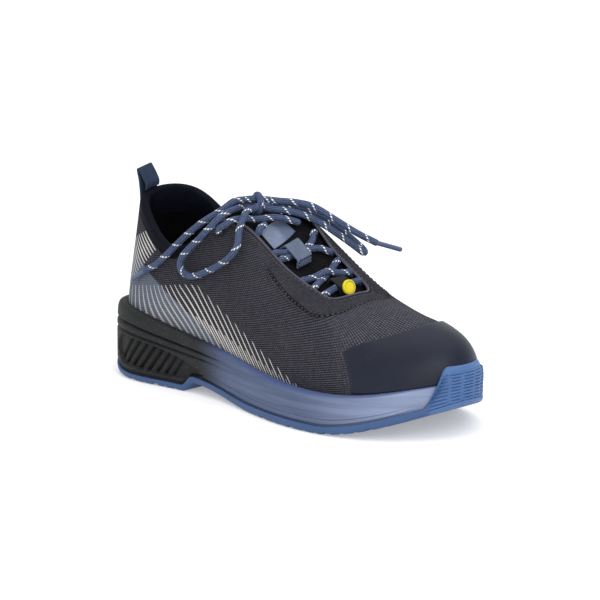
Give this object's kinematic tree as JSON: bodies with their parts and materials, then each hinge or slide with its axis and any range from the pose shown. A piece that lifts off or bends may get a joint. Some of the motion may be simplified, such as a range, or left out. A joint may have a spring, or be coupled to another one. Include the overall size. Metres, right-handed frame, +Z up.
{
  "type": "safety shoe",
  "caption": "Low lace-up safety shoe for the right foot: knit upper, smooth toe cap, foam midsole cup and a rubber outsole that climbs into a ribbed toe bumper.",
  "frame": {"origin": "under the middle of the sole's box, on the floor", "axes": "+Z up, +X from heel to toe, -Y towards the shoe's outer (lateral) side"},
  "size_m": [0.2868, 0.1092, 0.1279],
  "materials": {
    "outsole": "matte blue rubber with a ribbed toe bumper",
    "midsole": "matte foam, black at the heel and grey blue at the forefoot",
    "upper": "charcoal knit",
    "toe_cap": "smooth dark film overlay",
    "tongue": "black mesh",
    "tongue_label": "satin weave",
    "lace_keeper": "satin weave strap",
    "badge_loop": "black webbing",
    "badge": "plain yellow button",
    "insole": "felt",
    "pull_loop": "slate blue webbing",
    "lace": "slate blue braid with white flecks",
    "lace_tip": "shrunk film tips"
  },
  "bodies": {
    "root": {"outsole": "outsole", "midsole": "midsole", "upper": "upper", "toe_cap": "toe_cap", "tongue": "tongue", "tongue_label": "tongue_label", "lace_keeper": "lace_keeper", "badge_loop": "badge_loop", "badge": "badge", "insole": "insole", "pull_loop": "pull_loop", "lace_bar_bottom": "lace", "lace_cross_lower": "lace", "lace_cross_upper": "lace", "lace_top_bar": "lace", "lace_top_strand": "lace", "lace_knot": "lace", "lace_loop_outer": "lace", "lace_loop_inner": "lace", "lace_end_outer": "lace", "lace_end_inner": "lace", "lace_tip_outer": "lace_tip", "lace_tip_inner": "lace_tip"}
  },
  "joints": []
}
